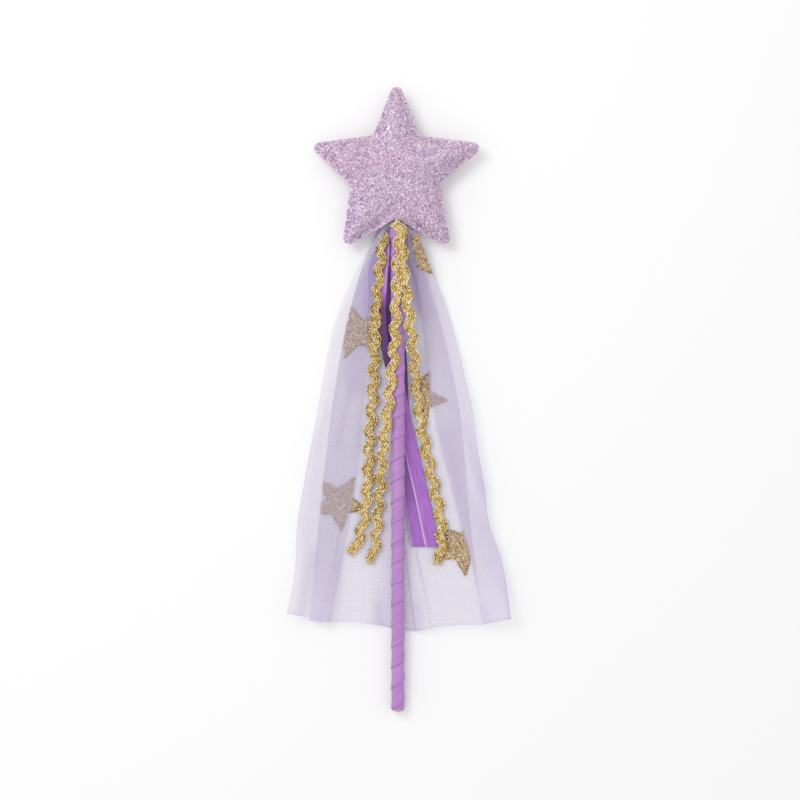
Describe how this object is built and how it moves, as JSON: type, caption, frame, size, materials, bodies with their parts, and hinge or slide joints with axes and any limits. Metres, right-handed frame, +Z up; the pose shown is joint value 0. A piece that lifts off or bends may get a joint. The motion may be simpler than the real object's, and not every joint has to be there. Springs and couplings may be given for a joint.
{
  "type": "toy magic wand",
  "caption": "Toy magic wand: padded glitter star on a ribbon-wrapped stick, with gathered organza strips, satin tails and zigzag gold braid streamers tied below the star.",
  "frame": {"origin": "centre of the bounding box's bottom face, on the table that the wand lies on", "axes": "+Y along the stick towards the star, +X to the right seen from above, +Z up from the table"},
  "size_m": [0.156, 0.438, 0.0212],
  "materials": {
    "beech dowel": "bare sanded wood",
    "violet satin ribbon": "shiny satin weave",
    "lilac glitter fabric": "coarse glitter flakes on cloth",
    "lilac sewing thread": "plain thread",
    "polyester wadding": "loose fibre",
    "hot-melt glue": "cloudy and smooth",
    "lavender organza": "sheer open weave",
    "gold glitter": "coarse printed glitter",
    "gold metallic braid": "metallic flat braid"
  },
  "bodies": {
    "wand": {"dowel": "beech dowel", "handle_wrap": "violet satin ribbon", "end_glue_dab": "hot-melt glue", "neck_tape": "violet satin ribbon", "star_front_panel": "lilac glitter fabric", "star_back_panel": "lilac glitter fabric", "star_wadding_front": "polyester wadding", "star_wadding_back": "polyester wadding", "star_seam_thread": "lilac sewing thread", "star_glue_dab": "hot-melt glue", "veil_back": "lavender organza", "glitter_star_upper_left": "gold glitter", "glitter_star_lower_left": "gold glitter", "glitter_star_middle_right": "gold glitter", "glitter_star_lower_right": "gold glitter"},
    "organza_left": {"veil_left": "lavender organza"},
    "organza_right": {"veil_right": "lavender organza", "glitter_star_upper_right": "gold glitter"},
    "satin_lower": {"satin_tail_lower": "violet satin ribbon"},
    "satin_upper": {"satin_tail_upper": "violet satin ribbon"},
    "braid_left": {"ricrac_left": "gold metallic braid"},
    "braid_middle": {"ricrac_middle": "gold metallic braid"},
    "braid_right": {"ricrac_right": "gold metallic braid"}
  },
  "joints": [
    {"name": "organza_left_lift", "type": "hinge", "parent": "wand", "child": "organza_left", "pos_m": [-0.019, 0.1125, 0.0105], "axis": [-1, 0, 0], "range_deg": [0, 40]},
    {"name": "organza_right_lift", "type": "hinge", "parent": "wand", "child": "organza_right", "pos_m": [0.012, 0.1125, 0.0105], "axis": [-1, 0, 0], "range_deg": [0, 40]},
    {"name": "braid_left_lift", "type": "hinge", "parent": "wand", "child": "braid_left", "pos_m": [-0.0112, 0.1163, 0.0109], "axis": [-1, 0, 0], "range_deg": [0, 55]},
    {"name": "braid_middle_lift", "type": "hinge", "parent": "wand", "child": "braid_middle", "pos_m": [0, 0.125, 0.0171], "axis": [-1, 0, 0], "range_deg": [0, 55]},
    {"name": "braid_right_lift", "type": "hinge", "parent": "braid_middle", "child": "braid_right", "pos_m": [0.0006, 0.125, 0.0182], "axis": [-1, 0, 0], "range_deg": [0, 30]},
    {"name": "satin_lower_sway", "type": "hinge", "parent": "wand", "child": "satin_lower", "pos_m": [-0.006, 0.111, 0.004], "axis": [0, 0, 1], "range_deg": [-3, 5]},
    {"name": "satin_upper_sway", "type": "hinge", "parent": "wand", "child": "satin_upper", "pos_m": [-0.0065, 0.111, 0.005], "axis": [0, 0, 1], "range_deg": [-3, 5]}
  ]
}
